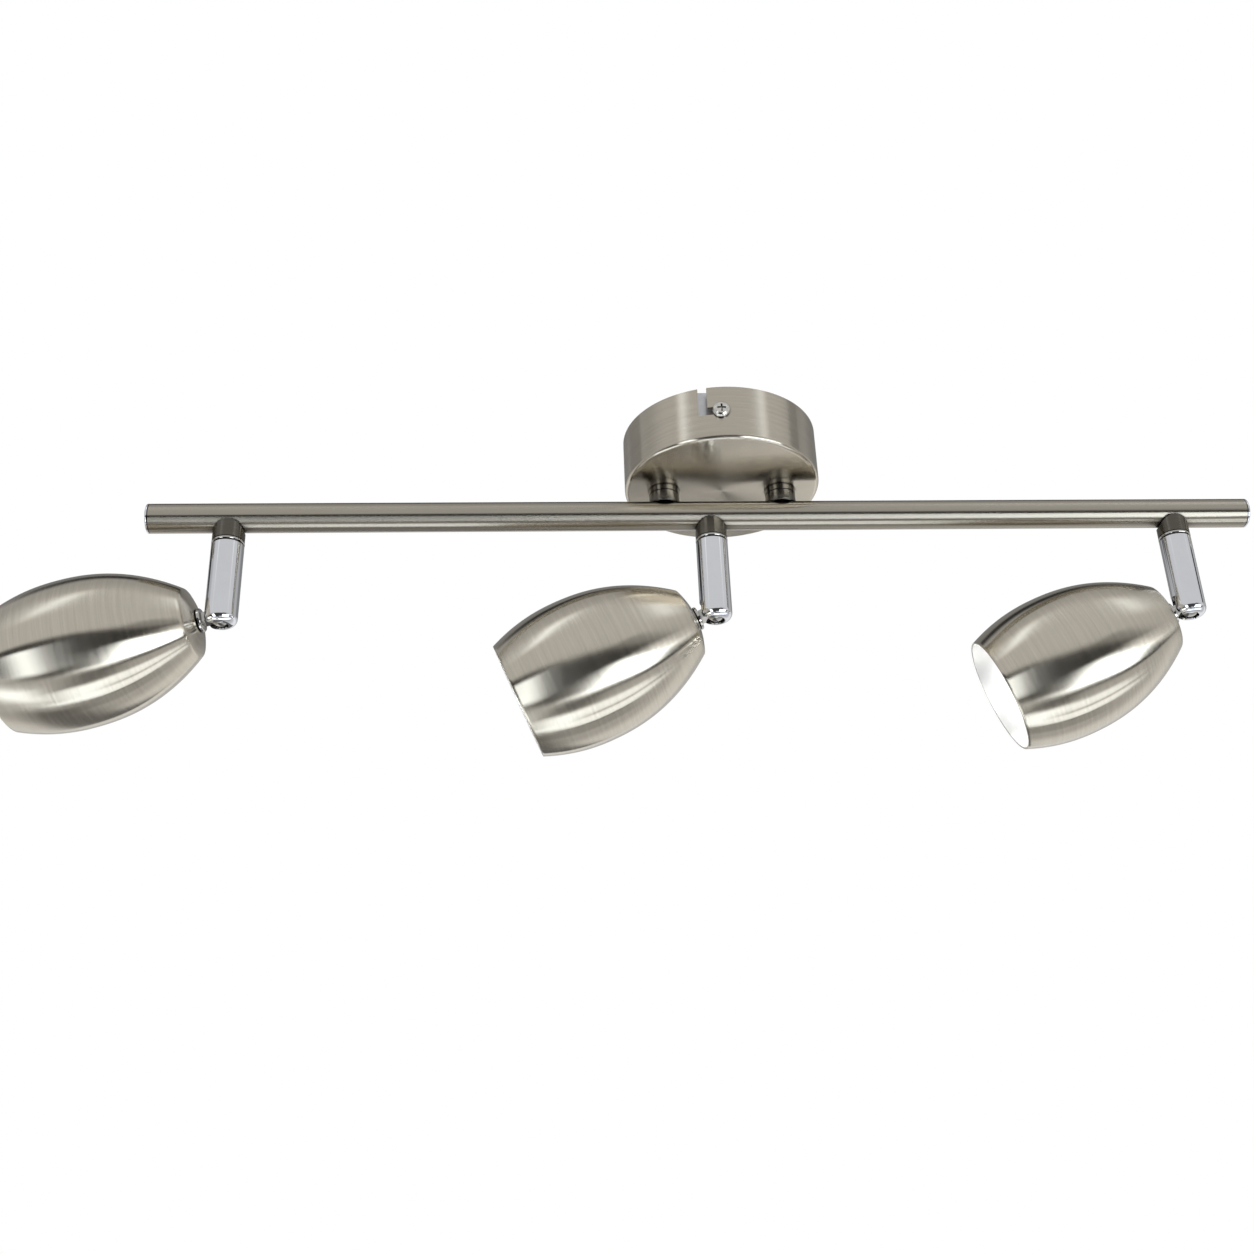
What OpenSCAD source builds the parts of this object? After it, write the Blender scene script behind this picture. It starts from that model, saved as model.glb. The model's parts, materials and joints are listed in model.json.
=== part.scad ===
// Ceiling spotlight bar: one ceiling cup, two stems, one round bar and three
// barrel-shaped spots, each on a chrome drop arm that swivels and tilts.
// Origin: centre of the ceiling plane. +Z is up, X runs along the bar.

/* [Ceiling cup] */
// Outside diameter of the ceiling cup
cup_d = 100; // [96:1:120]
// Height of the ceiling cup
cup_h = 30; // [28:1:36]
// Sheet thickness of the cup
cup_t = 1; // [0.8:0.1:1.2]
// Radius of the cup's lower edge
cup_edge = 2; // [1.5:0.5:3]
// Width of the L-shaped screw slots
slot_w = 4.4; // [4.2:0.1:5]
// Sideways place of each slot's open leg
slot_leg_x = 12.8; // [11:0.2:14]
// Sideways place of each side screw
side_screw_x = 4; // [3:0.5:5]
// Depth of the side screws below the ceiling
side_screw_z = 14; // [12:0.5:15]

/* [Mounting strap] */
// Width of the steel strap under the ceiling
strap_w = 32; // [30:1:36]
// Thickness of the strap
strap_t = 2; // [1.5:0.5:2]
// Distance between the two ceiling screw slots
fixing_pitch = 56; // [52:1:60]
// Length of each ceiling screw slot
fixing_slot = 14; // [10:1:16]
// Width of each ceiling screw slot
fixing_w = 5.2; // [4.5:0.1:6]

/* [Stems] */
// Distance between the two stems
stem_pitch = 60; // [50:1:70]
// Outside diameter of a stem
stem_d = 15.6; // [14:0.1:16]

/* [Bar] */
// Diameter of the bar
bar_d = 15; // [15:0.5:16]
// Length of the bar with its end caps
bar_len = 564; // [540:1:700]
// Wall thickness of the bar
bar_wall = 1; // [0.8:0.1:1]
// Depth of the bar's axis below the ceiling
bar_drop = 45; // [45:0.5:50]
// How far the bar's middle sits to one side of the cup
bar_shift = -7; // [-8:0.5:8]
// Distance between neighbouring spots
spot_pitch = 241; // [230:1:290]

/* [Arms] */
// Diameter of the saddles and of the chrome arms
arm_d = 16; // [16:0.5:18]
// Length of a chrome arm
arm_len = 44; // [40:1:60]
// Height of the tilt pivot above the arm's lower end
pivot_up = 5.8; // [5.8:0.1:6]
// Width of the slot in the arm's lower end
arm_slot_w = 7.4; // [7:0.1:8]

/* [Spots] */
// Length of a shade from its rear crease to its mouth
shade_len = 93; // [85:0.5:110]
// Largest radius of a shade
shade_r = 36.7; // [34:0.1:38]
// Radius of a shade at its rear crease
crease_r = 17.3; // [15:0.1:18]
// Radius of a shade at its mouth
mouth_r = 29.5; // [27:0.1:31]
// Where the largest radius lies, as a share of the length
belly = 0.62; // [0.5:0.01:0.7]
// Sheet thickness of a shade
shade_t = 0.8; // [0.6:0.1:1]
// Height of the shade's domed rear face
dome_h = 3.7; // [3:0.1:4]
// Distance from the tilt pivot to the rear crease
crease_a = 14.4; // [14:0.1:16]
// Turn of the left, middle and right arm about the vertical
swivel = [-10, -9, -13]; // [-170:1:170]
// Drop of the left, middle and right spot below level
tilt = [11.5, 22.5, 21]; // [0:0.5:90]

/* [Hidden] */
$fn = 96;
eps = 0.01;
cup_r = cup_d / 2;
bar_r = bar_d / 2;
bar_in_r = bar_r - bar_wall;
cap_t = 1.9;
tube_len = bar_len - 2 * cap_t;
arm_r = arm_d / 2;
// Heights below the ceiling, from the saddles down
saddle_low = bar_drop + 13.9;
ring_low = saddle_low + 1.8;
arm_top = ring_low + 0.3;
arm_low = arm_top + arm_len;
pivot_z = arm_low - pivot_up;
// Swivel shaft, threaded nipples and the cavity in an arm
shaft_r = 5;
shaft_low = arm_top + 10.6;
flange_t = 8;
cavity_r = 6.4;
seat_r = 6.1;
ball_r = 5.8;
stem_xs = [-stem_pitch / 2, stem_pitch / 2];
spot_xs = [bar_shift - spot_pitch, bar_shift, bar_shift + spot_pitch];
// Distances along a spot's axis, counted from the tilt pivot
apex_a = crease_a - dome_h;
mouth_a = crease_a + shade_len;
ring_a = apex_a - 1.5;
neck_h = 4.6;
neck_w = 6.6;
stud_r = 3;
plate_a = 13.8;
holder_a = 20;
lamp_a = 37;
face_a = 88.5;

// ---------- helpers ----------

// Round solid standing on z = -h, with its lower edge rounded
module cup_solid(r, h, edge) {
    rotate_extrude() {
        translate([0, edge - h]) square([r, h - edge]);
        translate([0, -h]) square([r - edge, edge]);
        intersection() {
            translate([r - edge, edge - h]) circle(edge);
            translate([0, -h]) square([r, edge]);
        }
    }
}

// Ring between two radii, rising from z = 0
module ring(r_out, r_in, h) {
    difference() {
        cylinder(r = r_out, h = h);
        translate([0, 0, -1]) cylinder(r = r_in, h = h + 2);
    }
}

// Ring with small chamfers on both outer edges
module chamfered_ring(r_out, r_in, h, c) {
    rotate_extrude() {
        polygon([
            [r_in, 0], [r_out - c, 0], [r_out, c],
            [r_out, h - c], [r_out - c, h], [r_in, h]
        ]);
    }
}

// Rod lying along X, centred on its own middle
module x_rod(r, len) {
    translate([-len / 2, 0, 0]) rotate([0, 90, 0]) cylinder(r = r, h = len);
}

// Hexagon prism by its width across flats
module hex(across, h) {
    cylinder(r = across / sqrt(3), h = h, $fn = 6);
}

// Round wire from point a to point b
module strand(a, b, r) {
    d = b - a;
    len = norm(d);
    translate(a)
        rotate([0, acos(d.z / len), atan2(d.y, d.x)])
            cylinder(r = r, h = len, $fn = 24);
}

function unit(v) = v / norm(v);
// Direction of a path at its point i
function heading(path, i) =
    unit(path[min(i + 1, len(path) - 1)] - path[max(i - 1, 0)]);
// Points of the ring of n points round a path's point i
function wire_ring(path, i, r, n) =
    let (t = heading(path, i), u = unit(cross(t, [0.6, 0.5, 0.6])), v = cross(t, u))
    [for (k = [0 : n - 1]) path[i] + r * (cos(360 * k / n) * u + sin(360 * k / n) * v)];

// Bent wire of radius r along a path
module bent_wire(path, r) {
    n = 8;
    last = len(path) - 1;
    polyhedron(
        points = [for (i = [0 : last]) each wire_ring(path, i, r, n)],
        faces = concat(
            [[for (k = [0 : n - 1]) k]],
            [for (i = [0 : last - 1], k = [0 : n - 1])
                [i * n + k, i * n + n + k, i * n + n + (k + 1) % n]],
            [for (i = [0 : last - 1], k = [0 : n - 1])
                [i * n + k, i * n + n + (k + 1) % n, i * n + (k + 1) % n]],
            [[for (k = [n - 1 : -1 : 0]) last * n + k]]
        )
    );
}

// Places its children at the tilt pivot of spot i, turned with its arm
module at_arm(i) {
    translate([spot_xs[i], 0, 0]) rotate([0, 0, swivel[i]]) children();
}

// Places its children on the axis of spot i, which runs from pivot to mouth
module at_spot(i) {
    at_arm(i)
        translate([0, 0, -pivot_z])
            rotate([0, 180 - tilt[i], 0])
                rotate([0, 90, 0])
                    children();
}

// ---------- ceiling cup and strap ----------

// Opening for a side screw: open leg from the rim, then a short foot
module screw_slot() {
    translate([-slot_leg_x - slot_w / 2, -cup_r - 2, -side_screw_z])
        cube([slot_w, 6, side_screw_z + 1]);
    translate([-slot_leg_x - slot_w / 2, -cup_r - 2, -side_screw_z - slot_w / 2])
        cube([slot_leg_x + slot_w / 2 - side_screw_x, 6, slot_w]);
    translate([-side_screw_x, -cup_r + 4, -side_screw_z])
        rotate([90, 0, 0]) cylinder(d = slot_w, h = 6);
}

module canopy_cup() {
    color("#a8a39a")
        difference() {
            cup_solid(cup_r, cup_h, cup_edge);
            translate([0, 0, 0.001])
                cup_solid(cup_r - cup_t, cup_h - cup_t, cup_edge - cup_t + 0.2);
            for (turn = [0, 180]) rotate([0, 0, turn]) screw_slot();
            for (x = stem_xs)
                translate([x, 0, -cup_h - 1]) cylinder(r = shaft_r + 0.15, h = 3);
        }
}

// Bent end of the strap, which takes a side screw
module strap_ear() {
    ear_y = cup_r - cup_t - 4.5;
    difference() {
        translate([-strap_w / 2, -ear_y, -side_screw_z - 5])
            cube([strap_w, strap_t, side_screw_z + 5]);
        translate([-side_screw_x, -ear_y - 1, -side_screw_z])
            rotate([-90, 0, 0]) cylinder(r = 2.05, h = strap_t + 2);
    }
}

module mounting_strap() {
    ear_y = cup_r - cup_t - 4.5;
    color("#b9bcc0")
        difference() {
            union() {
                translate([-strap_w / 2, -ear_y, -strap_t])
                    cube([strap_w, 2 * ear_y, strap_t]);
                for (turn = [0, 180]) rotate([0, 0, turn]) strap_ear();
            }
            for (s = [-1, 1])
                translate([0, s * fixing_pitch / 2, -strap_t - 1]) {
                    for (e = [-1, 1])
                        translate([0, e * (fixing_slot - fixing_w) / 2, 0])
                            cylinder(d = fixing_w, h = strap_t + 2);
                    translate([-fixing_w / 2, (fixing_w - fixing_slot) / 2, 0])
                        cube([fixing_w, fixing_slot - fixing_w, strap_t + 2]);
                }
            translate([0, 15, -strap_t - 1]) cylinder(r = 1.7, h = strap_t + 2);
        }
}

// Pan head with a cross recess, head outwards along -Y, shank along +Y
module side_screw() {
    head_r = 4.25;
    difference() {
        union() {
            rotate([90, 0, 0])
                rotate_extrude()
                    polygon([
                        [0, 0], [head_r, 0], [head_r, 0.9], [3.9, 1.7],
                        [3.0, 2.3], [1.6, 2.6], [0, 2.7]
                    ]);
            rotate([-90, 0, 0]) cylinder(r = 2, h = 8);
        }
        for (turn = [0, 90])
            rotate([0, turn, 0])
                translate([-2.2, -3, -0.45]) cube([4.4, 1.6, 0.9]);
    }
}

module canopy_screws() {
    color("#d8d9dc")
        for (turn = [0, 180])
            rotate([0, 0, turn])
                translate([-side_screw_x, -cup_r - 0.05, -side_screw_z]) side_screw();
}

// ---------- stems ----------

module stems() {
    h = bar_drop - cup_h - 5.6;
    color("#a8a39a")
        for (x = stem_xs)
            translate([x, 0, -cup_h - h])
                difference() {
                    rotate_extrude()
                        polygon([
                            [shaft_r + 0.1, 0], [stem_d / 2 - 0.5, 0], [stem_d / 2, 0.5],
                            [stem_d / 2, h], [shaft_r + 0.1, h]
                        ]);
                    translate([0, 0, cup_h + h - bar_drop]) x_rod(bar_r + 0.2, 30);
                }
}

module stem_nipples() {
    color("#c9a94f")
        for (x = stem_xs)
            translate([x, 0, -bar_drop + 2.6]) ring(shaft_r, 3.2, bar_drop - 24.6);
}

module nipple_nuts() {
    color("#c9a94f")
        for (x = stem_xs)
            translate([x, 0, -cup_h + cup_t + 0.8])
                difference() {
                    hex(14, 4);
                    translate([0, 0, -1]) cylinder(r = shaft_r + 0.04, h = 6);
                }
}

module nipple_washers() {
    color("#b9bcc0")
        for (x = stem_xs)
            translate([x, 0, -cup_h + cup_t + eps]) ring(8, shaft_r + 0.2, 0.8 - eps);
}

// ---------- bar ----------

module bar_tube() {
    color("#a8a39a")
        difference() {
            translate([bar_shift, 0, -bar_drop])
                difference() {
                    x_rod(bar_r, tube_len);
                    x_rod(bar_in_r, tube_len + 2);
                }
            for (x = stem_xs)
                translate([x, 0, -bar_drop]) cylinder(r = shaft_r + 0.2, h = bar_d);
            for (x = spot_xs)
                translate([x, 0, -bar_drop - bar_d]) cylinder(r = shaft_r + 0.2, h = bar_d);
        }
}

// Domed end cap with a plug that sits inside the tube
module end_cap() {
    rotate_extrude()
        polygon([
            [0, -8], [bar_in_r - 0.15, -8], [bar_in_r - 0.1, 0], [bar_r, 0],
            [bar_r, 1.1], [bar_r - 0.5, 1.5], [bar_r - 2.5, 1.8], [0, cap_t]
        ]);
}

module bar_caps() {
    color("#d8d9dc")
        for (s = [-1, 1])
            translate([bar_shift + s * tube_len / 2, 0, -bar_drop])
                rotate([0, s * 90, 0]) end_cap();
}

// Threaded block inside the bar, open along the bar for the wires
module bar_insert() {
    difference() {
        x_rod(bar_in_r - 0.15, 18);
        translate([0, 0, -bar_d]) cylinder(r = shaft_r + 0.05, h = bar_d * 2);
        x_rod(3.2, 20);
    }
}

module bar_inserts() {
    color("#c9a94f")
        for (x = concat(stem_xs, spot_xs))
            translate([x, 0, -bar_drop]) bar_insert();
}

// ---------- saddles and swivel ----------

// Short cylinder hollowed to sit under the bar, its top rounded over
module saddle() {
    top = bar_drop + 4.4;
    arch_r = 9;
    difference() {
        intersection() {
            translate([0, 0, -saddle_low]) cylinder(d = arm_d, h = saddle_low - top);
            translate([0, arm_d, -top - arch_r])
                rotate([90, 0, 0]) cylinder(r = arch_r, h = 2 * arm_d);
        }
        translate([0, 0, -bar_drop]) x_rod(bar_r + 0.1, 30);
        translate([0, 0, -saddle_low - 1]) cylinder(r = shaft_r + 0.1, h = 20);
    }
}

module saddles() {
    color("#a8a39a")
        for (x = spot_xs) translate([x, 0, 0]) saddle();
}

module swivel_rings() {
    color("#d8d9dc")
        for (x = spot_xs)
            translate([x, 0, -ring_low])
                chamfered_ring(arm_r + 0.1, shaft_r + 0.1, ring_low - saddle_low - 0.1, 0.4);
}

// Hollow shaft that hangs from the bar and carries the arm
module swivel_shafts() {
    color("#c9a94f")
        for (x = spot_xs)
            translate([x, 0, -shaft_low])
                ring(shaft_r, 2.6, shaft_low - bar_drop - 2.6);
}

module shaft_nuts() {
    color("#b9bcc0")
        for (x = spot_xs)
            translate([x, 0, -arm_top - flange_t - 2.5])
                difference() {
                    cylinder(r = 6, h = 2.2);
                    translate([0, 0, -1]) cylinder(r = shaft_r + 0.04, h = 5);
                    for (turn = [0, 90])
                        rotate([0, 0, turn])
                            translate([-7, -0.6, -1]) cube([14, 1.2, 1.8]);
                }
}

// ---------- wiring in the cup and bar ----------

module terminal_block() {
    color("#f2f2ee")
        difference() {
            union() {
                translate([-12.5, -8.5, -strap_t - 5]) cube([25, 17, 5]);
                for (x = [-8, 0, 8])
                    translate([x - 3.4, -8.5, -strap_t - 14]) cube([6.8, 17, 10]);
            }
            for (x = [-8, 0, 8]) {
                translate([x, 10, -strap_t - 7]) rotate([90, 0, 0]) cylinder(r = 1.9, h = 20);
                for (y = [-4.5, 4.5])
                    translate([x, y, -strap_t - 15]) cylinder(r = 1.8, h = 6);
            }
        }
}

module terminal_screws() {
    color("#c9a94f")
        for (x = [-8, 0, 8])
            for (y = [-4.5, 4.5])
                translate([x, y, -strap_t - 12.6])
                    difference() {
                        cylinder(r = 1.6, h = 3.5);
                        translate([-2, -0.3, -1]) cube([4, 0.6, 1.8]);
                    }
}

module earth_screw() {
    color("#c9a94f")
        translate([0, 15, -strap_t])
            union() {
                translate([0, 0, -2.2]) cylinder(r = 3, h = 2.1);
                translate([0, 0, -0.5]) cylinder(r = 1.6, h = strap_t + 0.3);
            }
}

// Radius of one insulated wire, and how far a pair stands off the bar's axis
wire_r = 0.9;
wire_y = 1.2;

// Straight wire along the bar with a drop into each swivel shaft
module bar_run(side) {
    y = side * wire_y;
    translate([bar_shift, y, -bar_drop]) x_rod(wire_r, 2 * spot_pitch + 4);
    for (x = spot_xs)
        translate([x, y, -shaft_low + 1])
            cylinder(r = wire_r - 0.05, h = shaft_low - 1 - bar_drop);
}

// Wire from a pole of the block, over the rim of a nipple and down to the bar;
// side picks the block's face it leaves from, off its distance from the middle
module feed(pole_x, stem_x, side, off, low_z) {
    s = sign(stem_x);
    z = -strap_t - 7;
    bent_wire([
        [pole_x, side * 3, z], [pole_x, side * 9, z], [pole_x + s, side * 11, z - 0.5],
        [pole_x + 3 * s, side * 12.5, z - 1], [pole_x + 7 * s, side * 13, z - 2],
        [stem_x - 5 * s, side * 12, z - 3.5], [stem_x - 2 * s, side * (10 + off), z - 4.5],
        [stem_x - 0.5 * s, side * (6 + off), z - 6], [stem_x, side * (2.5 + off), z - 7.5],
        [stem_x, side * (0.5 + off), z - 9.5], [stem_x, side * off, z - 12],
        [stem_x, side * off, z - 20], [stem_x, side * off, low_z]
    ], wire_r);
}

module live_leads() {
    color("#7a4a2a") {
        bar_run(-1);
        feed(8, stem_xs[1], -1, wire_y, -bar_drop + wire_r + 0.05);
    }
}

module neutral_leads() {
    color("#2a4f9a") {
        bar_run(1);
        feed(0, stem_xs[1], 1, wire_y, -bar_drop + wire_r + 0.05);
    }
}

module earth_lead() {
    color("#5f9a3a") feed(-8, stem_xs[0], -1, 0, -bar_drop + 3);
}

// ---------- drop arms ----------

module arm_tube(i) {
    top_c = 0.4;
    edge = 4;
    slot_top = pivot_z - 4.6;
    color("#c8cad0")
        at_arm(i)
            difference() {
                translate([0, 0, -arm_top]) cup_solid(arm_r, arm_len, edge);
                translate([0, 0, -arm_top - flange_t - 1])
                    cylinder(r = shaft_r + 0.06, h = flange_t + 2);
                translate([0, 0, -pivot_z + 4])
                    cylinder(r = cavity_r, h = pivot_z - 4 - arm_top - flange_t);
                translate([0, 0, -pivot_z]) cylinder(r = seat_r, h = 5);
                translate([0, 0, -pivot_z]) sphere(r = seat_r);
                translate([0, 0, -arm_low - 1]) cylinder(r = 3.9, h = 4);
                translate([-arm_r - 1, -arm_slot_w / 2, -arm_low - 1])
                    cube([arm_r + 3.7, arm_slot_w, arm_low + 1 - slot_top]);
                translate([0, 0, -arm_top])
                    difference() {
                        translate([0, 0, -top_c]) cylinder(r = arm_r + 1, h = 2);
                        translate([0, 0, -top_c])
                            cylinder(r1 = arm_r, r2 = arm_r - 1, h = 1);
                    }
            }
}

// Spring-loaded friction seat that presses on the ball from above
module arm_socket(i) {
    low = pivot_z - 3.6;
    high = shaft_low + 1;
    color("#8f8f8a")
        at_arm(i)
            difference() {
                translate([0, 0, -low]) cylinder(r = 6, h = low - high);
                translate([0, 0, -pivot_z]) sphere(r = ball_r + 0.1);
                translate([0, 0, -low - 1]) cylinder(r = 2.6, h = low - high + 2);
            }
}

// Sleeved wire pair from the swivel shaft down to the ball
module arm_lead(i) {
    color("#e8e4da")
        at_arm(i) strand([0, 0, -shaft_low - 0.5], [0, 0, -pivot_z + 6.4], 1.7);
}

module arm_left_tube() { arm_tube(0); }
module arm_middle_tube() { arm_tube(1); }
module arm_right_tube() { arm_tube(2); }
module arm_left_socket() { arm_socket(0); }
module arm_middle_socket() { arm_socket(1); }
module arm_right_socket() { arm_socket(2); }
module arm_left_lead() { arm_lead(0); }
module arm_middle_lead() { arm_lead(1); }
module arm_right_lead() { arm_lead(2); }

// ---------- spots ----------
// Every spot module is drawn along +Z from its tilt pivot at the origin.

// Outside radius of a shade at a share t of its length
function belly_p(t) = t < belly ? 2.215 : 2.1;
function drop_k(t) = t < belly
    ? (shade_r - crease_r) / pow(belly, belly_p(0))
    : (shade_r - mouth_r) / pow(1 - belly, belly_p(1));
function shade_out(t) = shade_r - drop_k(t) * pow(abs(t - belly), belly_p(t));
// Distance of the rear dome's outer face from the pivot, at radius r
function dome_a(r) = apex_a + dome_h * pow(r / crease_r, 2);

// One closed outline of the shade's wall, from the stud hole to the mouth
shade_steps = 26;
dome_steps = 7;
hole_r = stud_r + 0.1;
function dome_r(j) = hole_r + (crease_r - hole_r) * j / dome_steps;

module shade_wall() {
    outside = [for (j = [0 : dome_steps]) [dome_r(j), dome_a(dome_r(j))]];
    side = [for (j = [1 : shade_steps])
        [shade_out(j / shade_steps), crease_a + shade_len * j / shade_steps]];
    inside = [for (j = [shade_steps : -1 : 1])
        [shade_out(j / shade_steps) - shade_t, crease_a + shade_len * j / shade_steps]];
    dome_in = [for (j = [dome_steps - 1 : -1 : 0])
        [dome_r(j) , dome_a(dome_r(j)) + shade_t]];
    rotate_extrude()
        polygon(concat(outside, side, inside, [[crease_r - shade_t, crease_a + 0.9]], dome_in));
}

// Ball, flat neck and threaded stud in one piece, drilled for the wires
module knuckle(i) {
    color("#c8cad0")
        difference() {
            union() {
                sphere(r = ball_r);
                translate([-neck_h / 2, -neck_w / 2, 0]) cube([neck_h, neck_w, ring_a]);
                translate([0, 0, ring_a - 0.5]) cylinder(r = stud_r, h = 19 - ring_a);
            }
            translate([0, 0, -1]) cylinder(r = 1.9, h = 30);
            ball_cut(i);
        }
}

// Fan-shaped cut in the ball that lets the wires bend as the spot tilts
module ball_cut(i) {
    rotate([90, 0, 0])
        translate([0, 0, -1.9])
            linear_extrude(3.8)
                polygon([[0, 0], [9, 2.4], [9, -6], [2, -9], [-1, -6]]);
}

module collar() {
    color("#c8cad0")
        translate([0, 0, ring_a])
            chamfered_ring(5.9, stud_r + 0.06, 1.6, 0.35);
}

module plate() {
    color("#b9bcc0")
        translate([0, 0, plate_a])
            difference() {
                translate([-7, -11.5, 0]) cube([14, 23, 1.2]);
                translate([0, 0, -1]) cylinder(r = stud_r + 0.1, h = 4);
                for (y = [-8.5, 8.5]) translate([0, y, -1]) cylinder(r = 1.6, h = 4);
            }
}

module nut() {
    color("#c9a94f")
        translate([0, 0, plate_a + 1.2])
            difference() {
                hex(9, 2.8);
                translate([0, 0, -1]) cylinder(r = stud_r + 0.04, h = 5);
            }
}

// Ceramic lamp holder with two keyhole sockets for the lamp's pins
module holder() {
    color("#efece4")
        translate([0, 0, holder_a])
            difference() {
                cylinder(r = 12.5, h = lamp_a - holder_a - 0.3);
                for (y = [-5, 5]) translate([0, y, 9]) cylinder(r = 2.7, h = 9);
                for (y = [-8.5, 8.5]) translate([0, y, -1]) cylinder(r = 1.6, h = 5);
                translate([0, 0, -1]) cylinder(r = 2.2, h = 5);
            }
}

module holder_screws() {
    color("#b9bcc0")
        for (y = [-8.5, 8.5])
            translate([0, y, plate_a + 1.2]) {
                translate([0, 0, -2]) cylinder(r = 1.5, h = 8.8);
                translate([0, 0, 0.05]) cylinder(r = 2.4, h = holder_a - plate_a - 1.35);
            }
}

// Reflector lamp: base, flared body and two pins
module lamp() {
    base_r = 10;
    rim_r = 25;
    color("#e4e4e2")
        translate([0, 0, lamp_a]) {
            rotate_extrude()
                polygon([
                    [0, 0], [base_r, 0], [base_r, 12], [14, 18], [20, 30], [24.2, 44],
                    [rim_r, 47], [rim_r, 50.5], [23.6, 50.5], [23.6, 48.2],
                    [18.8, 32], [12.8, 20], [8, 15], [0, 14]
                ]);
            for (y = [-5, 5])
                translate([0, y, -6]) {
                    cylinder(r = 1.3, h = 6.5);
                    cylinder(r = 2.3, h = 2);
                }
        }
}

// Clear front lens held inside the lamp's rim
module lens() {
    color("#dfe8ea")
        translate([0, 0, face_a - 2.9])
            rotate_extrude()
                polygon([[0, 0], [23.2, 0], [23.2, 1.8], [18, 2.3], [10, 2.7], [0, 2.9]]);
}

// Sleeved wire pair from the ball through the stud to the holder
module spot_lead() {
    color("#e8e4da") strand([0, 0, 0.5], [0, 0, holder_a + 2], 1.6);
}

module spot_left_knuckle() { at_spot(0) knuckle(0); }
module spot_left_collar() { at_spot(0) collar(); }
module spot_left_shade() { color("#a8a39a") at_spot(0) shade_wall(); }
module spot_left_plate() { at_spot(0) plate(); }
module spot_left_nut() { at_spot(0) nut(); }
module spot_left_holder() { at_spot(0) holder(); }
module spot_left_screws() { at_spot(0) holder_screws(); }
module spot_left_lamp() { at_spot(0) lamp(); }
module spot_left_lens() { at_spot(0) lens(); }
module spot_left_lead() { at_spot(0) spot_lead(); }
module spot_middle_knuckle() { at_spot(1) knuckle(1); }
module spot_middle_collar() { at_spot(1) collar(); }
module spot_middle_shade() { color("#a8a39a") at_spot(1) shade_wall(); }
module spot_middle_plate() { at_spot(1) plate(); }
module spot_middle_nut() { at_spot(1) nut(); }
module spot_middle_holder() { at_spot(1) holder(); }
module spot_middle_screws() { at_spot(1) holder_screws(); }
module spot_middle_lamp() { at_spot(1) lamp(); }
module spot_middle_lens() { at_spot(1) lens(); }
module spot_middle_lead() { at_spot(1) spot_lead(); }
module spot_right_knuckle() { at_spot(2) knuckle(2); }
module spot_right_collar() { at_spot(2) collar(); }
module spot_right_shade() { color("#a8a39a") at_spot(2) shade_wall(); }
module spot_right_plate() { at_spot(2) plate(); }
module spot_right_nut() { at_spot(2) nut(); }
module spot_right_holder() { at_spot(2) holder(); }
module spot_right_screws() { at_spot(2) holder_screws(); }
module spot_right_lamp() { at_spot(2) lamp(); }
module spot_right_lens() { at_spot(2) lens(); }
module spot_right_lead() { at_spot(2) spot_lead(); }

// ---------- drawing ----------
canopy_cup();
mounting_strap();
canopy_screws();
stems();
stem_nipples();
nipple_nuts();
nipple_washers();
bar_tube();
bar_caps();
bar_inserts();
saddles();
swivel_rings();
swivel_shafts();
shaft_nuts();
terminal_block();
terminal_screws();
earth_screw();
live_leads();
neutral_leads();
earth_lead();
arm_left_tube();
arm_left_socket();
arm_left_lead();
arm_middle_tube();
arm_middle_socket();
arm_middle_lead();
arm_right_tube();
arm_right_socket();
arm_right_lead();
spot_left_knuckle();
spot_left_collar();
spot_left_shade();
spot_left_plate();
spot_left_nut();
spot_left_holder();
spot_left_screws();
spot_left_lamp();
spot_left_lens();
spot_left_lead();
spot_middle_knuckle();
spot_middle_collar();
spot_middle_shade();
spot_middle_plate();
spot_middle_nut();
spot_middle_holder();
spot_middle_screws();
spot_middle_lamp();
spot_middle_lens();
spot_middle_lead();
spot_right_knuckle();
spot_right_collar();
spot_right_shade();
spot_right_plate();
spot_right_nut();
spot_right_holder();
spot_right_screws();
spot_right_lamp();
spot_right_lens();
spot_right_lead();
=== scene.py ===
import json
import math

import bmesh
import bpy
from mathutils import Matrix, Vector


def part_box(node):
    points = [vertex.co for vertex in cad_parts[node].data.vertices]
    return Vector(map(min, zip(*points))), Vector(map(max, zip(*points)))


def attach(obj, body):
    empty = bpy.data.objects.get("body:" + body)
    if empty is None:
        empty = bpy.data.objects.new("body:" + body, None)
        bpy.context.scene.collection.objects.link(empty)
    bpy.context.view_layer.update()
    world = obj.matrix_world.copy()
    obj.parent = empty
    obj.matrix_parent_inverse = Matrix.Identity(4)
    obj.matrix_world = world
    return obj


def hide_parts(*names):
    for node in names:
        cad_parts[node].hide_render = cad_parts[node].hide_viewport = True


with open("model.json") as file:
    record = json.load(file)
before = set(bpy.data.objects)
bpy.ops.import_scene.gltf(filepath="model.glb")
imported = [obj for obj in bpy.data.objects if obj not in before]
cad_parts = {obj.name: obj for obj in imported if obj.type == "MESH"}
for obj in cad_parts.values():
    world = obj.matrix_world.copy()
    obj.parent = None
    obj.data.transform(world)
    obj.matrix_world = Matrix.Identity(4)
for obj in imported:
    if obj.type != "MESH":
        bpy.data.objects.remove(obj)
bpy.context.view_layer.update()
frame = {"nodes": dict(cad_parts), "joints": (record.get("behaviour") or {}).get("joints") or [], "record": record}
NODES = frame["nodes"]
JOINTS = {joint["name"]: joint for joint in frame["joints"]}
SPOTS = ("left", "middle", "right")
MM = 0.001


# ---------------------------------------------------------------- camera

# Angles in degrees, sensor and lens in mm, shift as a share of the picture, place in mm from the origin
CAMERA = dict(yaw=4.848, pitch=27.917, roll=-2.765, sensor=36.0, lens=46.4986,
              shift_x=-0.0319, shift_y=-0.0295, place=(-91.1, -710.01, -465.24))


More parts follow.
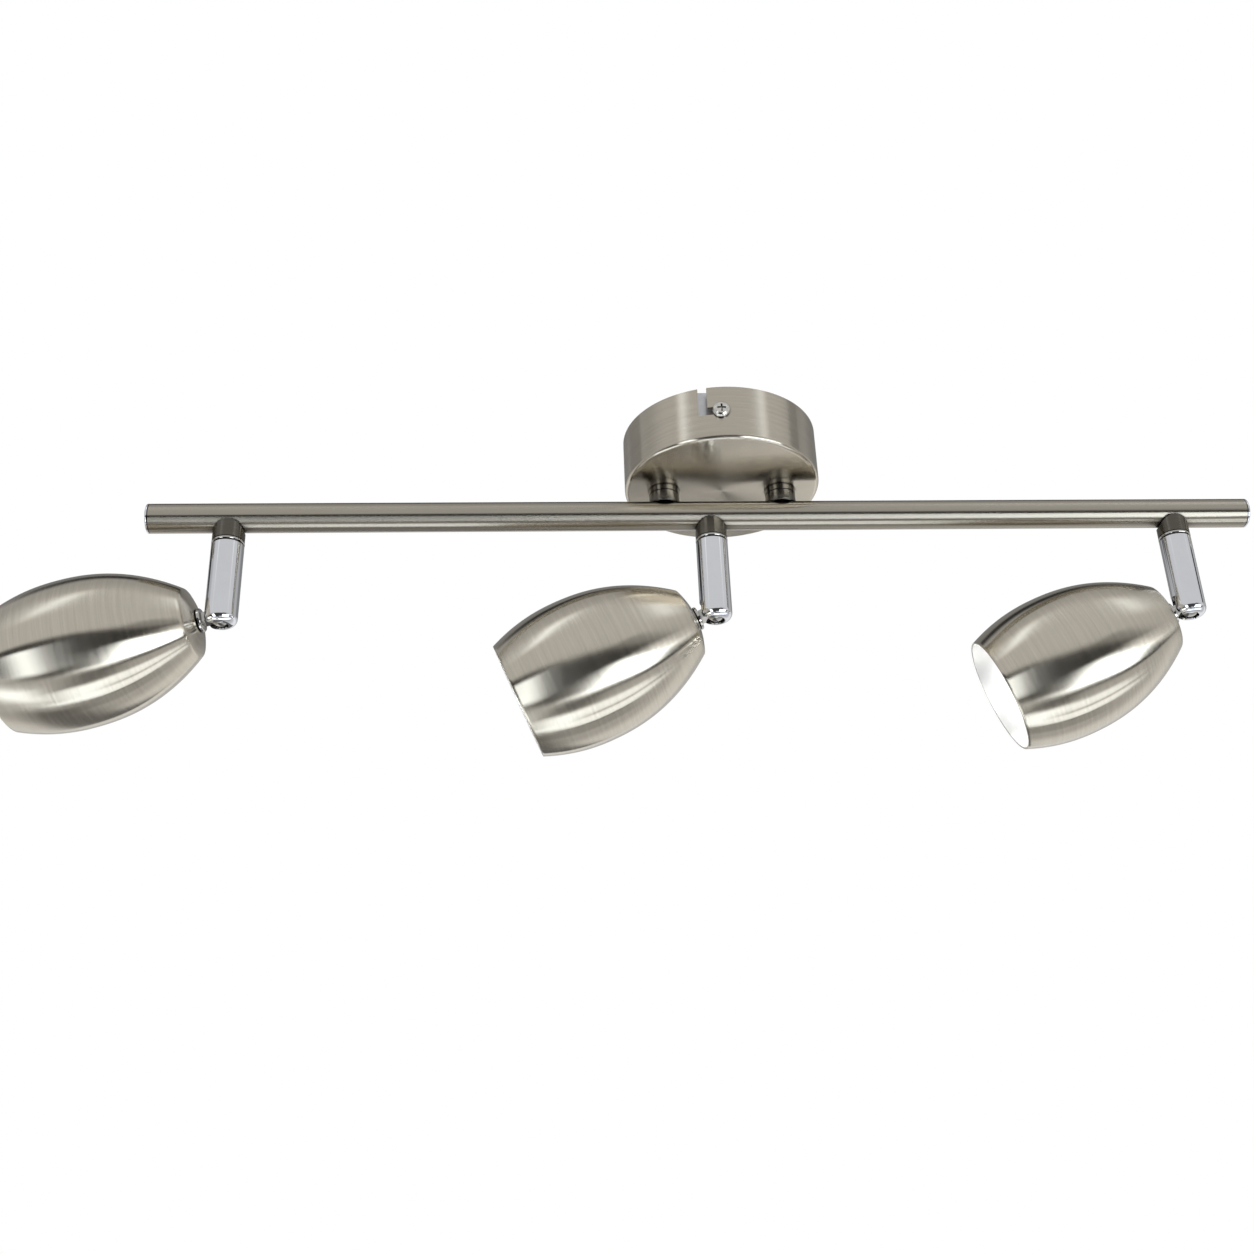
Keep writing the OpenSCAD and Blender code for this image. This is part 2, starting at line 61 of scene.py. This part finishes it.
def make_camera():
    yaw, pitch, roll = (math.radians(CAMERA[angle]) for angle in ("yaw", "pitch", "roll"))
    level_part = math.cos(pitch)
    ahead = Vector((math.sin(yaw) * level_part, math.cos(yaw) * level_part, math.sin(pitch)))
    right = Vector((math.cos(yaw), -math.sin(yaw), 0.0))
    up = right.cross(ahead)
    x_axis = math.cos(roll) * right + math.sin(roll) * up
    y_axis = math.cos(roll) * up - math.sin(roll) * right
    cam = bpy.data.cameras.new("camera")
    cam.sensor_width = CAMERA["sensor"]
    cam.lens = CAMERA["lens"]
    cam.shift_x = CAMERA["shift_x"]
    cam.shift_y = CAMERA["shift_y"]
    cam.clip_start = 0.01
    cam.clip_end = 50.0
    ob = bpy.data.objects.new("camera", cam)
    bpy.context.scene.collection.objects.link(ob)
    matrix = Matrix((x_axis, y_axis, -ahead)).transposed().to_4x4()
    matrix.translation = Vector(CAMERA["place"]) * MM
    ob.matrix_world = matrix
    bpy.context.scene.camera = ob


make_camera()
bpy.context.scene.view_settings.view_transform = "Standard"


# ---------------------------------------------------------------- node helpers

def scaled(color, factor):
    return tuple(factor * channel for channel in color)


class Tree:
    """Short ways to add nodes to a node tree."""

    def __init__(self, tree):
        self.tree = tree
        tree.nodes.clear()

    def add(self, kind, **props):
        node = self.tree.nodes.new(kind)
        for key, value in props.items():
            setattr(node, key, value)
        return node

    def link(self, output, socket):
        self.tree.links.new(output, socket)

    def put(self, socket, value):
        """Links a socket or sets a plain value."""
        if isinstance(value, bpy.types.NodeSocket):
            self.link(value, socket)
        else:
            socket.default_value = value

    def math(self, operation, a, b=0.0, c=0.0):
        node = self.add("ShaderNodeMath", operation=operation)
        for socket, value in zip(node.inputs, (a, b, c)):
            self.put(socket, value)
        return node.outputs[0]

    def smooth(self, x, low, high, to_low=0.0, to_high=1.0):
        """Runs smoothly from to_low, where x is low, to to_high, where x is high."""
        node = self.add("ShaderNodeMapRange", interpolation_type="SMOOTHSTEP")
        for socket, value in zip(node.inputs, (x, low, high, to_low, to_high)):
            self.put(socket, value)
        return node.outputs[0]

    def place(self):
        """The point in the piece's own coordinates, in metres."""
        return self.add("ShaderNodeTexCoord").outputs["Object"]

    def noise(self, vector, scale, detail=3.0, rough=0.55):
        node = self.add("ShaderNodeTexNoise")
        self.link(vector, node.inputs["Vector"])
        node.inputs["Scale"].default_value = scale
        node.inputs["Detail"].default_value = detail
        node.inputs["Roughness"].default_value = rough
        return node.outputs[0]

    def stretch(self, vector, scale):
        node = self.add("ShaderNodeMapping")
        self.link(vector, node.inputs["Vector"])
        node.inputs["Scale"].default_value = scale
        return node.outputs[0]

    def ramp(self, factor, low, low_color, high, high_color):
        """Colour that runs from low_color to high_color as factor goes from low to high."""
        node = self.add("ShaderNodeValToRGB")
        self.link(factor, node.inputs[0])
        ends = node.color_ramp.elements
        for end, position, color in zip(ends, (low, high), (low_color, high_color)):
            end.position = position
            end.color = (*color, 1.0)
        return node.outputs[0]

    def times(self, color, factor):
        node = self.add("ShaderNodeVectorMath", operation="SCALE")
        self.link(color, node.inputs[0])
        self.link(factor, node.inputs["Scale"])
        return node.outputs[0]

    def painted_gap_shade(self, color, reach=0.0016):
        """Paints shade into a colour: darkens it down to a tenth in gaps and recesses narrower than about reach
        metres.
        """
        node = self.add("ShaderNodeAmbientOcclusion", samples=8)
        node.inputs["Distance"].default_value = reach
        return self.times(color, self.smooth(node.outputs["AO"], low=0.30, high=0.92, to_low=0.10))

    def bump(self, height, strength, distance):
        node = self.add("ShaderNodeBump")
        node.inputs["Strength"].default_value = strength
        node.inputs["Distance"].default_value = distance
        self.link(height, node.inputs["Height"])
        return node.outputs[0]


def new_material(name, **sockets):
    """A material, its tree and its Principled shader with the given socket values."""
    material = bpy.data.materials.new(name)
    material.use_nodes = True
    t = Tree(material.node_tree)
    out = t.add("ShaderNodeOutputMaterial")
    shader = t.add("ShaderNodeBsdfPrincipled")
    t.link(shader.outputs[0], out.inputs[0])
    for key, value in sockets.items():
        shader.inputs[key.replace("_", " ")].default_value = value
    return material, t, shader


# ---------------------------------------------------------------- studio

# The studio round the object, which lights it and shows in its reflections. Directions are in degrees:
# along runs sideways along the bar, and turn runs round it, 0 on the camera's side, 90 straight down,
# -90 straight up and 180 behind.

# Brightness above and below level on the camera's side, and the turn over which it changes
CAMERA_SIDE = dict(above=0.62, below=0.05, turn=(-2.0, 6.0))
# Other walls: turn where each starts, turn where it is full, brightness
WALLS = (
    (-60.0, -100.0, 0.44),
    (57.0, 63.0, 0.55),
    (-155.0, -165.0, 0.55),
    (132.0, 152.0, 0.85),
)

# Soft-edged panels, each laid over the ones before. lean slides a panel along the bar per degree of turn.
PANELS = (
    # grey and dark boards above and behind the bar, and one below it
    dict(along=(-32, 45), turn=(-156, -106), level=0.24, soft=6.0, soft_turn=4.0),
    dict(along=(-32, 45), turn=(-121, -110), level=0.03, soft=6.0, soft_turn=3.0),
    dict(along=(-5, 24), turn=(39, 101), level=0.15, lean=-0.14, soft=2.0),
    # large soft boxes left and right of the camera
    dict(along=(-53, -36), turn=(13.5, 54.5), level=3.0, lean=0.32),
    dict(along=(21, 64), turn=(22, 53), level=4.2, lean=-0.22),
    dict(along=(42, 88), turn=(5, 24), level=1.1, lean=0.38),
    dict(along=(25, 62), turn=(-12, 2.5), level=0.32, lean=-0.65),
    # bright strips below the bar
    dict(along=(-6, 20), turn=(53.5, 57.5), level=1.8, lean=1.1),
    dict(along=(-66, -29), turn=(79, 98), level=2.4, lean=0.67),
    dict(along=(-27, 60), turn=(102, 104.5), level=2.6, lean=-0.4),
    dict(along=(-11, 11), turn=(79.5, 106), level=2.1, lean=0.09),
    dict(along=(6, 48), turn=(76, 89), level=1.6, lean=0.8),
    dict(along=(12, 53), turn=(93, 104.5), level=1.6, lean=0.4),
    # darker bands low down behind it
    dict(along=(-30, 40), turn=(104.8, 107.5), level=0.05),
    dict(along=(-30, 40), turn=(108.5, 122), level=0.40),
    dict(along=(-27, -3), turn=(114, 168), level=0.12, lean=0.32),
    # two soft boxes high up on both sides, which streak the cup
    dict(along=(18, 26), turn=(-70, -47), level=2.4, lean=0.76, soft=4.0, soft_turn=8.0),
    dict(along=(-26, -18), turn=(-70, -47), level=2.4, lean=-0.76, soft=4.0, soft_turn=8.0),
    # black cards that edge the chrome arms
    dict(along=(58, 66), turn=(-106, -79), level=0.04, soft=1.5, soft_turn=2.0),
    dict(along=(-43, -34), turn=(-143, -121), level=0.03, lean=-0.83, soft=1.5, soft_turn=2.0),
)

# Tints of dim and of bright light: the bright panels are a little cooler than the walls
WALL_TINT = (1.0, 1.0, 1.0)
PANEL_TINT = (0.87, 0.935, 1.0)


def make_world():
    world = bpy.data.worlds.new("studio")
    bpy.context.scene.world = world
    world.use_nodes = True
    t = Tree(world.node_tree)
    direction = t.add("ShaderNodeSeparateXYZ")
    t.link(t.add("ShaderNodeTexCoord").outputs["Generated"], direction.inputs[0])
    x, y, z = direction.outputs
    degrees = math.degrees(1.0)
    sideways = t.math("MULTIPLY", t.math("ARCSINE", x), degrees)
    down = t.math("MULTIPLY", z, -1.0)
    front = t.math("MULTIPLY", y, -1.0)
    around = t.math("MULTIPLY", t.math("ARCTAN2", down, front), degrees)

    def window(value, limits, soft):
        low, high = limits
        rise = t.smooth(value, low - soft, low + soft)
        fall = t.smooth(value, high - soft, high + soft, 1.0, 0.0)
        return t.math("MULTIPLY", rise, fall)

    def mix(amount, value, under):
        rest = t.math("MULTIPLY", under, t.math("SUBTRACT", 1.0, amount))
        return t.math("ADD", rest, t.math("MULTIPLY", amount, value))

    def lay_panel(under, along, turn, level, lean=0.0, soft=3.0, soft_turn=1.5):
        side = sideways
        if lean:
            from_edge = t.math("SUBTRACT", around, turn[0])
            side = t.math("SUBTRACT", sideways, t.math("MULTIPLY", from_edge, lean))
        inside = t.math("MULTIPLY", window(side, along, soft), window(around, turn, soft_turn))
        return mix(inside, level, under)

    level = t.smooth(around, *CAMERA_SIDE["turn"], CAMERA_SIDE["above"], CAMERA_SIDE["below"])
    for start, full, brightness in WALLS:
        level = mix(t.smooth(around, start, full), brightness, level)
    for panel in PANELS:
        level = lay_panel(level, **panel)
    # the camera itself sees plain white behind the object
    level = mix(t.add("ShaderNodeLightPath").outputs["Is Camera Ray"], 1.0, level)
    background = t.add("ShaderNodeBackground")
    t.link(level, background.inputs["Strength"])
    tint = t.ramp(t.math("MULTIPLY", level, 0.5), 0.55, WALL_TINT, 0.9, PANEL_TINT)
    t.link(tint, background.inputs["Color"])
    t.link(background.outputs[0], t.add("ShaderNodeOutputWorld").inputs[0])


def area_light(name, place, target, size, power, spread=180.0):
    """Round lamp that lights the scene but isn't seen or mirrored; spread is in degrees."""
    lamp = bpy.data.lights.new(name, "AREA")
    lamp.shape = "DISK"
    lamp.size = size
    lamp.energy = power
    lamp.spread = math.radians(spread)
    ob = bpy.data.objects.new(name, lamp)
    bpy.context.scene.collection.objects.link(ob)
    ob.location = place
    ob.rotation_euler = (Vector(target) - Vector(place)).to_track_quat("-Z", "Y").to_euler()
    ob.visible_glossy = False
    ob.visible_camera = False


def overhead_light(name, power, width):
    """Broad even light from straight above, width degrees across, which keeps the floor pale."""
    lamp = bpy.data.lights.new(name, "SUN")
    lamp.energy = power
    lamp.angle = math.radians(width)
    ob = bpy.data.objects.new(name, lamp)
    bpy.context.scene.collection.objects.link(ob)
    ob.visible_glossy = False


# Floor's depth below the ceiling and half its width, in metres
FLOOR_DROP = 0.95
FLOOR_HALF = 40.0
FLOOR_DARK = (0.80, 0.80, 0.80)
FLOOR_PALE = (0.83, 0.83, 0.825)


def make_stage():
    corners = ((-1, -1), (1, -1), (1, 1), (-1, 1))
    me = bpy.data.meshes.new("floor")
    me.from_pydata([(x * FLOOR_HALF, y * FLOOR_HALF, -FLOOR_DROP) for x, y in corners], [], [(0, 1, 2, 3)])
    ob = bpy.data.objects.new("floor", me)
    bpy.context.scene.collection.objects.link(ob)
    paint, t, shader = new_material("floor_paint", Roughness=0.9)
    mottle = t.noise(t.place(), scale=3.0)
    t.link(t.ramp(mottle, 0.3, FLOOR_DARK, 0.7, FLOOR_PALE), shader.inputs["Base Color"])
    me.materials.append(paint)
    ob.visible_glossy = False
    overhead_light("soft_top", power=2.0, width=70.0)
    middle = (0.0, 0.0, -0.1)
    area_light("soft_key", (-0.8, -1.2, 1.2), middle, size=1.2, power=18.0)
    area_light("soft_fill", (1.2, -0.8, -0.5), middle, size=1.0, power=6.0)
    area_light("mouth_light", (-1.0, -0.30, -0.62), (0.1, 0.0, -0.12), size=0.6, power=12.5, spread=50.0)


make_world()
make_stage()


# ---------------------------------------------------------------- materials

def brushed_nickel(name, grain, color, rough, gloss_axis, contrast=0.065, reach=0.0016, under=1.0):
    """Satin nickel plate whose gloss is drawn out along gloss_axis.
    grain is how fine the brush marks are along X, Y and Z: high across them, low along them.
    contrast sets how far the marks change colour and roughness. reach is how wide a gap gets painted shade.
    under makes a face that points straight down that many times paler, a painted highlight."""
    material, t, shader = new_material(name, Metallic=1.0, Anisotropic=0.97, Anisotropic_Rotation=0.25)
    tangent = t.add("ShaderNodeTangent", direction_type="RADIAL", axis=gloss_axis)
    t.link(tangent.outputs[0], shader.inputs["Tangent"])
    fine = t.noise(t.stretch(t.place(), grain), scale=1.0, detail=4.0, rough=0.7)
    broad = t.noise(t.stretch(t.place(), scaled(grain, 0.42)), scale=1.0, detail=3.0, rough=0.65)
    marks = t.math("MULTIPLY_ADD", broad, 0.5, t.math("MULTIPLY", fine, 0.5))
    shade = t.ramp(marks, 0.36, scaled(color, 1.0 - contrast), 0.64, scaled(color, 1.0 + contrast))
    # painted highlight: faces that point straight down get a paler colour
    if under != 1.0:
        normal = t.add("ShaderNodeSeparateXYZ")
        t.link(t.add("ShaderNodeNewGeometry").outputs["Normal"], normal.inputs[0])
        shade = t.times(shade, t.smooth(normal.outputs[2], low=-0.97, high=-0.99, to_low=1.0, to_high=under))
    # painted shade: the colour is darkened in gaps and recesses
    t.link(t.painted_gap_shade(shade, reach), shader.inputs["Base Color"])
    cloud = t.noise(t.place(), scale=30.0, detail=3.0, rough=0.5)
    worn = t.math("MULTIPLY_ADD", t.math("SUBTRACT", cloud, 0.5), 0.03, rough)
    streaky = t.math("MULTIPLY_ADD", t.math("SUBTRACT", marks, 0.5), 2.0 * contrast, worn)
    t.link(streaky, shader.inputs["Roughness"])
    t.link(t.bump(fine, strength=0.05, distance=0.00002), shader.inputs["Normal"])
    return material


# How much the haze dims chrome in red, green and blue, and how fine its hairlines are along X, Y and Z
HAZE_TINT = (0.97, 0.97, 0.98)
HAIRLINES = (2600.0, 2600.0, 240.0)


def polished(name, color, rough=0.045):
    """Chrome plate: near mirror, with faint ripple and polishing haze."""
    material, t, shader = new_material(name, Metallic=1.0)
    haze = t.noise(t.place(), scale=90.0, detail=4.0, rough=0.6)
    hair = t.noise(t.stretch(t.place(), HAIRLINES), scale=1.0, detail=3.0, rough=0.6)
    hazy_color = tuple(dim * channel for dim, channel in zip(HAZE_TINT, color))
    # painted shade: the haze colour is darkened in gaps and recesses
    t.link(t.painted_gap_shade(t.ramp(haze, 0.35, hazy_color, 0.65, color)), shader.inputs["Base Color"])
    hazy = t.math("MULTIPLY_ADD", haze, 0.05, rough - 0.02)
    t.link(t.math("ADD", hazy, t.math("MULTIPLY", hair, 0.02)), shader.inputs["Roughness"])
    t.link(t.bump(haze, strength=0.05, distance=0.0001), shader.inputs["Normal"])
    return material


def plain_metal(name, color, rough, scale=300.0):
    """Plated or turned metal with an uneven, slightly grainy face."""
    material, t, shader = new_material(name, Metallic=1.0)
    grain = t.noise(t.place(), scale, detail=4.0, rough=0.6)
    # painted shade: the grain colour is darkened in gaps and recesses
    t.link(t.painted_gap_shade(t.ramp(grain, 0.3, scaled(color, 0.82), 0.7, color)), shader.inputs["Base Color"])
    t.link(t.math("MULTIPLY_ADD", grain, 0.18, rough - 0.09), shader.inputs["Roughness"])
    t.link(t.bump(grain, strength=0.12, distance=0.0001), shader.inputs["Normal"])
    return material


def moulded(name, color, rough, scale=700.0, bump=0.08, metallic=0.0):
    """Fine-grained plastic or ceramic; metallic blends it towards bare metal."""
    material, t, shader = new_material(name, Metallic=metallic)
    grain = t.noise(t.place(), scale, detail=4.0, rough=0.6)
    t.link(t.ramp(grain, 0.3, scaled(color, 0.93), 0.7, color), shader.inputs["Base Color"])
    t.link(t.math("MULTIPLY_ADD", grain, 0.12, rough - 0.06), shader.inputs["Roughness"])
    t.link(t.bump(grain, bump, distance=0.0002), shader.inputs["Normal"])
    return material


def woven(name, color):
    """Braided sleeve with diagonal ribs."""
    material, t, shader = new_material(name, Metallic=0.0, Roughness=0.85)
    ribs = t.add("ShaderNodeTexWave", wave_type="BANDS", bands_direction="DIAGONAL")
    t.link(t.place(), ribs.inputs["Vector"])
    ribs.inputs["Scale"].default_value = 900.0
    ribs.inputs["Distortion"].default_value = 1.5
    height = ribs.outputs[1]
    t.link(t.ramp(height, 0.2, scaled(color, 0.7), 0.8, color), shader.inputs["Base Color"])
    t.link(t.bump(height, strength=0.4, distance=0.0003), shader.inputs["Normal"])
    return material


def pressed_glass(name):
    """Clear glass with a pebbled face."""
    material, t, shader = new_material(name, Metallic=0.0, Roughness=0.05, IOR=1.5, Transmission_Weight=1.0)
    shader.inputs["Base Color"].default_value = (0.96, 0.98, 0.985, 1.0)
    pebbles = t.add("ShaderNodeTexVoronoi", feature="SMOOTH_F1")
    t.link(t.place(), pebbles.inputs["Vector"])
    pebbles.inputs["Scale"].default_value = 330.0
    t.link(t.bump(pebbles.outputs[0], strength=0.5, distance=0.0006), shader.inputs["Normal"])
    return material


# Brush marks round a turned piece, round a small one, and along the bar
ROUND = (45.0, 45.0, 1900.0)
ROUND_SMALL = (90.0, 90.0, 3200.0)
LENGTHWISE = (14.0, 900.0, 900.0)

shade_nickel = brushed_nickel("nickel_turned", ROUND, (0.655, 0.606, 0.515), 0.185, "Z")
# its underside is painted paler, a painted highlight
cup_nickel = brushed_nickel("nickel_cup", ROUND, (0.60, 0.552, 0.468), 0.20, "Z", under=1.45)
# painted shade: stems and saddles get a much darker copy of the nickel, for the shade round them
shaded_small_nickel = brushed_nickel("nickel_short_shaded", ROUND_SMALL, (0.145, 0.134, 0.114), 0.22, "Z", contrast=0.10)
# painted shade: the bar gets a darker copy of the shade's nickel, and its gap shade reaches far enough to darken
# its top under the cup
shaded_bar_nickel = brushed_nickel("nickel_tube", LENGTHWISE, (0.47, 0.433, 0.366), 0.26, "X", contrast=0.04,
                            reach=0.014)
inside_nickel = moulded("shade_inside", (0.95, 0.945, 0.93), 0.32, scale=160.0, bump=0.02, metallic=0.45)
screw_nickel = plain_metal("screw_nickel", (0.84, 0.82, 0.77), 0.24, scale=500.0)
knuckle_nickel = polished("knuckle_nickel", (0.60, 0.585, 0.55), 0.07)
chrome = polished("chrome_plate", (0.86, 0.87, 0.90))

BY_SLOT = {
    "satin_nickel": shade_nickel,
    "chrome": chrome,
    "zinc": plain_metal("zinc_plate", (0.72, 0.73, 0.75), 0.34),
    "brass": plain_metal("turned_brass", (0.83, 0.66, 0.34), 0.28),
    "white_plastic": moulded("white_nylon", (0.86, 0.86, 0.83), 0.42),
    "friction_seat": moulded("grey_acetal", (0.42, 0.42, 0.40), 0.5),
    "brown_wire": moulded("brown_pvc", (0.22, 0.10, 0.05), 0.45),
    "blue_wire": moulded("blue_pvc", (0.05, 0.14, 0.42), 0.45),
    "green_wire": moulded("green_pvc", (0.16, 0.42, 0.08), 0.45),
    "sleeve": woven("glass_sleeve", (0.86, 0.84, 0.78)),
    "ceramic": moulded("steatite", (0.86, 0.84, 0.78), 0.6, scale=1200.0, bump=0.2),
    "lamp_body": polished("lamp_reflector", (0.90, 0.90, 0.90), 0.12),
    "lens_glass": pressed_glass("pressed_lens"),
}
BY_NODE = {
    "bar_tube": shaded_bar_nickel,
    "canopy_cup": cup_nickel,
    "saddles": shaded_small_nickel,
    "canopy_screws": screw_nickel,
}
for side in SPOTS:
    BY_NODE["spot_%s_knuckle" % side] = knuckle_nickel
    BY_NODE["spot_%s_collar" % side] = knuckle_nickel

SLOT_OF = {part["node"]: part["material_slot"] for part in frame["record"]["subparts"]}
for name, ob in NODES.items():
    ob.data.materials.clear()
    ob.data.materials.append(BY_NODE.get(name, BY_SLOT[SLOT_OF[name]]))


# ---------------------------------------------------------------- mesh helpers

# Angle between faces, in radians, from which an edge is sharp, and radius in mm that counts as none
SHARP_EDGE = 0.6
ON_AXIS = 1e-6


def turned(bm, profile, steps, place):
    """Adds a closed shape turned round Z from (radius, height, material index) points in mm."""
    start = len(bm.verts)
    rings = []
    for radius, height, _ in profile:
        if radius < ON_AXIS:
            rings.append([bm.verts.new((0, 0, height * MM))] * steps)
            continue
        angles = [2 * math.pi * k / steps for k in range(steps)]
        rings.append([bm.verts.new((radius * MM * math.cos(a), radius * MM * math.sin(a), height * MM))
                      for a in angles])
    for i, ring in enumerate(rings):
        following = rings[(i + 1) % len(rings)]
        for k in range(steps):
            n = (k + 1) % steps
            corners = list(dict.fromkeys([ring[k], ring[n], following[n], following[k]]))
            if len(corners) < 3:
                continue
            face = bm.faces.new(corners)
            face.material_index = profile[i][2]
            face.smooth = True
    bm.verts.ensure_lookup_table()
    bmesh.ops.transform(bm, matrix=place, verts=bm.verts[start:])


def lathe(name, profile, mats, body, node, steps=128, places=(Matrix.Identity(4),)):
    """One turned piece, or several alike, which stands for a CAD node."""
    bm = bmesh.new()
    for place in places:
        turned(bm, profile, steps, place)
    bmesh.ops.recalc_face_normals(bm, faces=bm.faces)
    for e in bm.edges:
        e.smooth = e.calc_face_angle(0.0) < SHARP_EDGE
    me = bpy.data.meshes.new(name)
    bm.to_mesh(me)
    bm.free()
    ob = bpy.data.objects.new(name, me)
    bpy.context.scene.collection.objects.link(ob)
    for m in mats:
        me.materials.append(m)
    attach(ob, body)
    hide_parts(node)
    return ob


def one_material(points):
    """Profile in the piece's first material from (radius, height) points."""
    return [(radius, height, 0) for radius, height in points]


# ---------------------------------------------------------------- shades

# Sizes of a shade in mm, as its CAD piece has them: length from rear crease to mouth, outside radii where
# it is big, at the crease, the mouth and the stud hole, wall thickness, height of the rear dome, and
# crease_a from the tilt pivot to the crease. belly is where it is widest, as a share of the length, and
# the curves are the exponents of the profile on either side of it.
SHADE = dict(length=93.0, big=36.7, crease=17.3, mouth=29.5, belly=0.62, wall=0.8,
             dome=3.7, crease_a=14.4, hole=3.1, rear_curve=2.215, front_curve=2.1)
# Rings of points on the side and on the dome
SIDE_RINGS = 72
DOME_RINGS = 14
# Broken edge of the mouth: its width and depth in mm, and the share of the length where it starts
LIP_EDGE = 0.14
LIP_DEPTH = 0.16
LIP_SHARE = 0.998
# How far inside the crease the dome's outer and inner faces end, in mm
DOME_END_OUT = 0.5
DOME_END_IN = 1.4


def shade_radius(t):
    """Outside radius at a share t of the way from the rear crease to the mouth."""
    s = SHADE
    if t < s["belly"]:
        return s["big"] - (s["big"] - s["crease"]) * ((s["belly"] - t) / s["belly"]) ** s["rear_curve"]
    return s["big"] - (s["big"] - s["mouth"]) * ((t - s["belly"]) / (1 - s["belly"])) ** s["front_curve"]


def dome_point(j, inset, lift):
    """Radius and height of ring j on the rear dome, which ends inset mm inside the crease."""
    s = SHADE
    radius = s["hole"] + (s["crease"] - inset - s["hole"]) * j / (DOME_RINGS - 1)
    return radius, s["crease_a"] - s["dome"] * (1 - (radius / s["crease"]) ** 2) + lift


def side_point(k, depth):
    """Radius and height of ring k on the side, depth mm under the outer face."""
    t = k / SIDE_RINGS
    return shade_radius(t) - depth, SHADE["crease_a"] + SHADE["length"] * t


def shade_profile():
    """Closed outline of the wall: material 0 outside, material 1 inside."""
    s = SHADE
    outer_r, inner_r = s["mouth"], s["mouth"] - s["wall"]
    top = s["crease_a"] + s["length"]
    outside = [dome_point(j, DOME_END_OUT, 0.0) for j in range(DOME_RINGS)]
    # small radius at the crease
    outside += [(s["crease"] - 0.18, s["crease_a"] - 0.02), (s["crease"] + 0.05, s["crease_a"] + 0.14)]
    outside += [side_point(k, 0.0) for k in range(1, SIDE_RINGS)]
    # cut lip with broken edges
    outside += [(shade_radius(LIP_SHARE), top - LIP_DEPTH), (outer_r - LIP_EDGE, top),
                (inner_r + LIP_EDGE, top)]
    inside = [(inner_r, top - LIP_DEPTH)]
    inside += [side_point(k, s["wall"]) for k in range(SIDE_RINGS - 1, 0, -1)]
    inside += [(s["crease"] - s["wall"], s["crease_a"] + 0.7)]
    inside += [dome_point(j, DOME_END_IN, s["wall"]) for j in range(DOME_RINGS - 1, -1, -1)]
    return [(r, h, 0) for r, h in outside] + [(r, h, 1) for r, h in inside]


def spot_matrix(side):
    """Placement whose +Z runs from the tilt pivot to the shade's mouth, at rest."""
    joint = JOINTS["tilt_" + side]
    ax, ay, _ = joint["axis"]
    # the joint's upper limit is level, so it is also how far the spot points down at rest
    down = math.radians(joint["range_deg"][1])
    z_axis = Vector((-ay * math.cos(down), ax * math.cos(down), -math.sin(down)))
    y_axis = Vector((ax, ay, 0.0))
    x_axis = y_axis.cross(z_axis)
    matrix = Matrix((x_axis, y_axis, z_axis)).transposed().to_4x4()
    matrix.translation = Vector(joint["pos_m"])
    return matrix


for side in SPOTS:
    shade = lathe("shade_" + side, shade_profile(), (shade_nickel, inside_nickel), "spot_" + side,
                  "spot_%s_shade" % side, steps=192)
    shade.matrix_world = spot_matrix(side)


# ---------------------------------------------------------------- small turned pieces

STEM_R = 7.8


def stem_points(bore=5.1, outer=STEM_R, length=9.3, groove=2.9):
    """Sleeve that hangs down from z = 0, with one groove and a broken lower edge."""
    return [(bore, 0.0), (outer, 0.0), (outer, -groove), (outer - 0.08, -groove - 0.1),
            (outer - 0.45, -groove - 0.15), (outer - 0.45, -groove - 0.55), (outer - 0.08, -groove - 0.6),
            (outer, -groove - 0.7), (outer, 0.6 - length), (outer - 0.08, 0.45 - length),
            (outer - 0.7, -length), (bore, -length)]


def ring_points(bore=5.2, neck=7.5, outer=8.1, height=1.7):
    """Ring between saddle and arm, necked in above and below, which hangs down from z = 0."""
    return [(bore, 0.0), (neck, 0.0), (neck, -0.25), (outer - 0.15, -0.3), (outer, -0.45),
            (outer, 0.5 - height), (outer - 0.15, 0.3 - height), (neck, 0.2 - height),
            (neck, -height), (bore, -height)]


def cap_points(outer=7.5, height=1.9):
    """Thin domed button with a seam where it meets the tube, standing on z = 0."""
    return [(0.0, 0.1), (outer - 0.6, 0.1), (outer - 0.6, 0.3), (outer - 0.2, 0.34), (outer, 0.5),
            (outer, 0.95), (outer - 0.14, 1.25), (outer - 0.5, 1.5), (outer - 2.0, height - 0.18),
            (outer - 4.5, height - 0.04), (0.0, height)]


stem_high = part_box("stems")[1]
stem_x = stem_high.x - STEM_R * MM
lathe("stems_turned", one_material(stem_points()), (shaded_small_nickel,), "fixture", "stems",
      places=[Matrix.Translation((x, 0, stem_high.z)) for x in (-stem_x, stem_x)])

ring_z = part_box("swivel_rings")[1].z
spot_x = [JOINTS["swivel_" + side]["pos_m"][0] for side in SPOTS]
lathe("rings_turned", one_material(ring_points()), (knuckle_nickel,), "fixture", "swivel_rings",
      places=[Matrix.Translation((x, 0, ring_z)) for x in spot_x])

bar_low, bar_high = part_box("bar_tube")
bar_z = (bar_low.z + bar_high.z) / 2
bar_ends = ((bar_low.x, -math.pi / 2), (bar_high.x, math.pi / 2))
lathe("caps_turned", one_material(cap_points()), (chrome,), "fixture", "bar_caps",
      places=[Matrix.Translation((x, 0, bar_z)) @ Matrix.Rotation(turn, 4, "Y") for x, turn in bar_ends])
